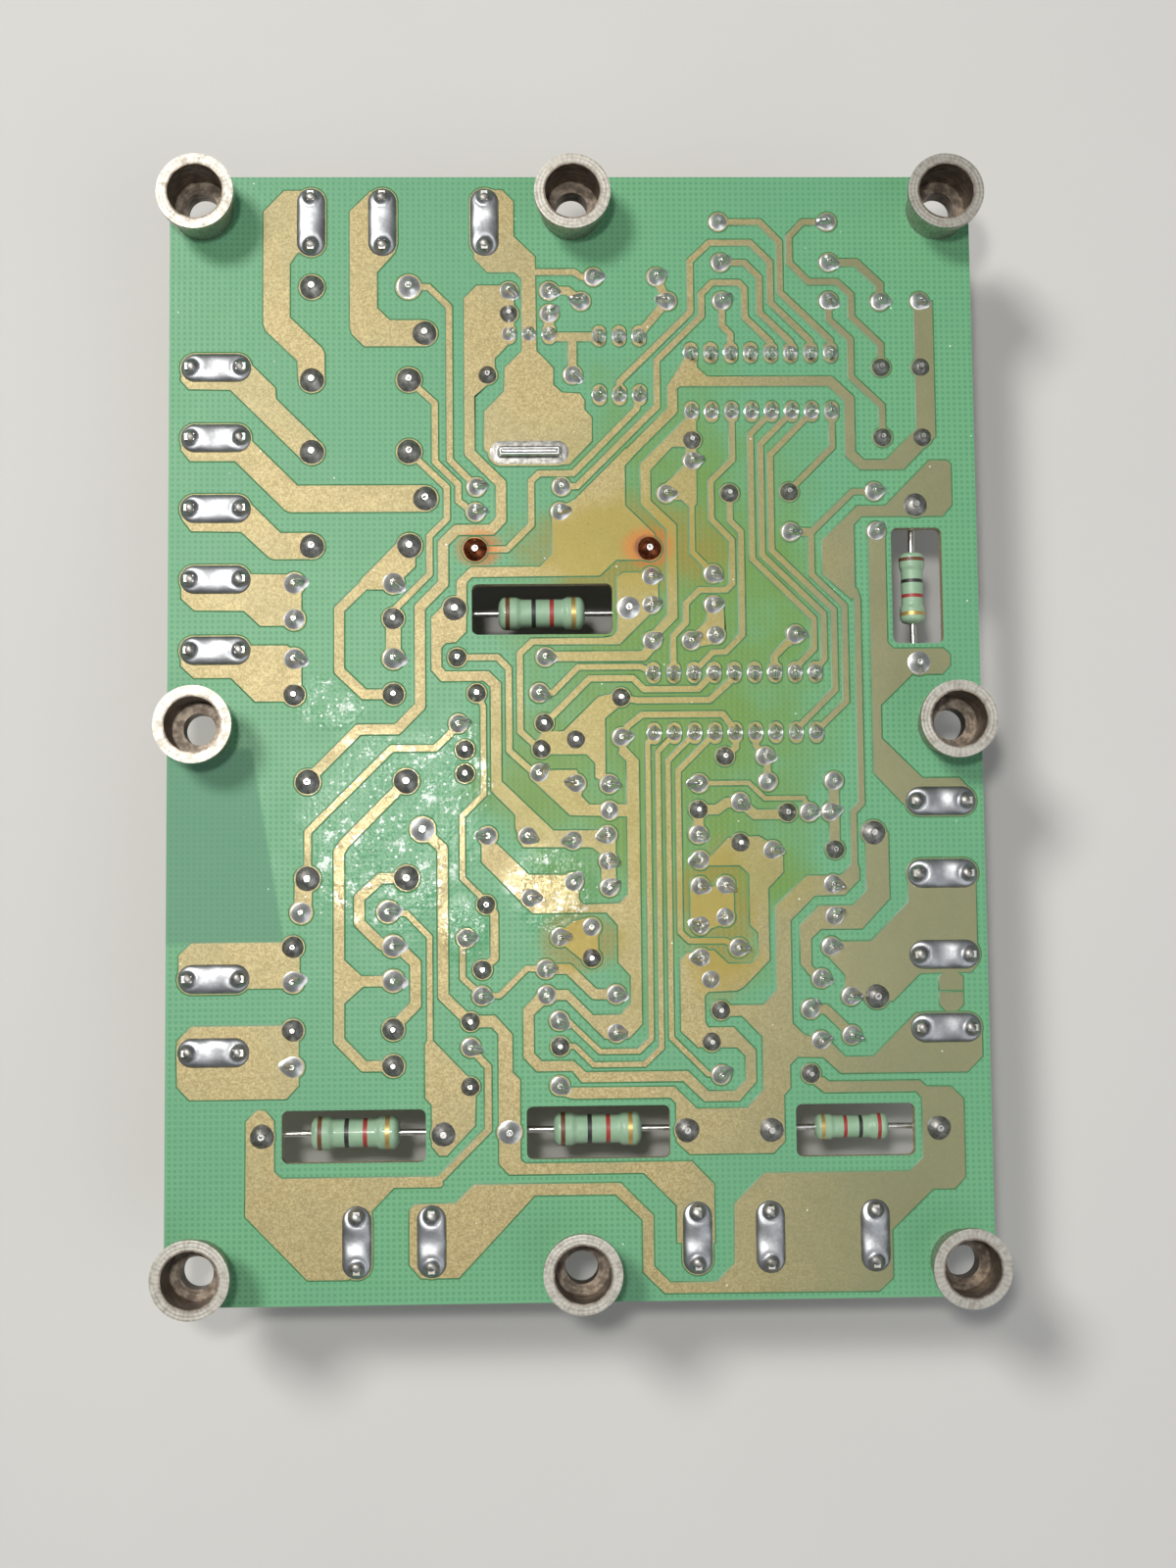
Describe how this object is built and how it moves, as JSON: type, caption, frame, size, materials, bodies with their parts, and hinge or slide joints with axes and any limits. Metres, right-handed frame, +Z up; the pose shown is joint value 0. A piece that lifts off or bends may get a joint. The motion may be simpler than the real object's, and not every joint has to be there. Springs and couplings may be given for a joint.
{
  "type": "relay control motherboard",
  "caption": "Through-hole relay and controller circuit board with a drawn solder side, blade terminals on its edges, cooling slots and flared mounting spacers",
  "frame": {"origin": "on the plane that the relay tops, heatsink and tall capacitor stand on, under the middle of the board", "axes": "+Z up out of the solder side, +X along the short edge toward the cooling slot side, +Y along the long edge toward the regulator end"},
  "size_m": [0.1028, 0.1418, 0.0274],
  "materials": {
    "laminate": "green resist over woven laminate",
    "copper": "matte, under thin resist",
    "solder": "bright",
    "spacer_metal": "plated satin",
    "tab_metal": "tinned satin",
    "lead_metal": "tinned",
    "relay_case": "satin black",
    "bobbin_plastic": "matte",
    "winding_wire": "enamelled",
    "magnet_steel": "satin",
    "spring_alloy": "satin",
    "power_coat": "glossy green coating",
    "dropper_coat": "heat-darkened coating",
    "resistor_coat": "glossy tan coating",
    "diode_case": "matte black",
    "can_sleeve": "dark sleeve",
    "film_coat": "ochre dip",
    "disc_coat": "brown dip",
    "line_case": "ivory box",
    "chip_plastic": "matte black",
    "resonator_coat": "blue dip",
    "led_epoxy": "tinted clear",
    "sink_metal": "satin",
    "hardware": "plated"
  },
  "bodies": {
    "board_assembly": {"board": "laminate", "copper_artwork": "copper", "solder_joints": "solder", "blade_solder": "solder", "spacer_lower_left": "spacer_metal", "spacer_lower_middle": "spacer_metal", "spacer_lower_right": "spacer_metal", "spacer_centre_left": "spacer_metal", "spacer_centre_right": "spacer_metal", "spacer_upper_left": "spacer_metal", "spacer_upper_middle": "spacer_metal", "spacer_upper_right": "spacer_metal", "blade_terminals_side": "tab_metal", "blade_terminals_end": "tab_metal", "relay_1_cover": "relay_case", "relay_1_base": "relay_case", "relay_1_bobbin": "bobbin_plastic", "relay_1_winding": "winding_wire", "relay_1_yoke": "magnet_steel", "relay_1_terminals": "lead_metal", "relay_2_cover": "relay_case", "relay_2_base": "relay_case", "relay_2_bobbin": "bobbin_plastic", "relay_2_winding": "winding_wire", "relay_2_yoke": "magnet_steel", "relay_2_terminals": "lead_metal", "relay_3_cover": "relay_case", "relay_3_base": "relay_case", "relay_3_bobbin": "bobbin_plastic", "relay_3_winding": "winding_wire", "relay_3_yoke": "magnet_steel", "relay_3_terminals": "lead_metal", "regulator_body": "chip_plastic", "regulator_frame": "lead_metal", "heatsink": "sink_metal", "regulator_screw": "hardware", "regulator_nut": "hardware", "optocoupler_body": "chip_plastic", "driver_ic_body": "chip_plastic", "controller_ic_body": "chip_plastic", "ic_pins": "lead_metal", "power_resistors": "power_coat", "dropper_resistor": "dropper_coat", "small_resistors": "resistor_coat", "diodes": "diode_case", "axial_leads": "lead_metal", "electrolytic_capacitors": "can_sleeve", "film_capacitors": "film_coat", "disc_capacitors": "disc_coat", "status_leds": "led_epoxy", "resonator": "resonator_coat", "radial_leads": "lead_metal", "line_capacitor": "line_case"},
    "relay_1_swing": {"relay_1_armature": "magnet_steel", "relay_1_contact_spring": "spring_alloy"},
    "relay_2_swing": {"relay_2_armature": "magnet_steel", "relay_2_contact_spring": "spring_alloy"},
    "relay_3_swing": {"relay_3_armature": "magnet_steel", "relay_3_contact_spring": "spring_alloy"}
  },
  "joints": [
    {"name": "relay_1_armature_hinge", "type": "hinge", "parent": "board_assembly", "child": "relay_1_swing", "pos_m": [-0.018, 0.0502, 0.0046], "axis": [0, 1, 0], "range_deg": [0, 4], "stiffness_Nm_per_rad": 0.02},
    {"name": "relay_2_armature_hinge", "type": "hinge", "parent": "board_assembly", "child": "relay_2_swing", "pos_m": [-0.018, 0.029, 0.0046], "axis": [0, 1, 0], "range_deg": [0, 4], "stiffness_Nm_per_rad": 0.02},
    {"name": "relay_3_armature_hinge", "type": "hinge", "parent": "board_assembly", "child": "relay_3_swing", "pos_m": [-0.0185, -0.0126, 0.0046], "axis": [0, 1, 0], "range_deg": [0, 4], "stiffness_Nm_per_rad": 0.02}
  ]
}
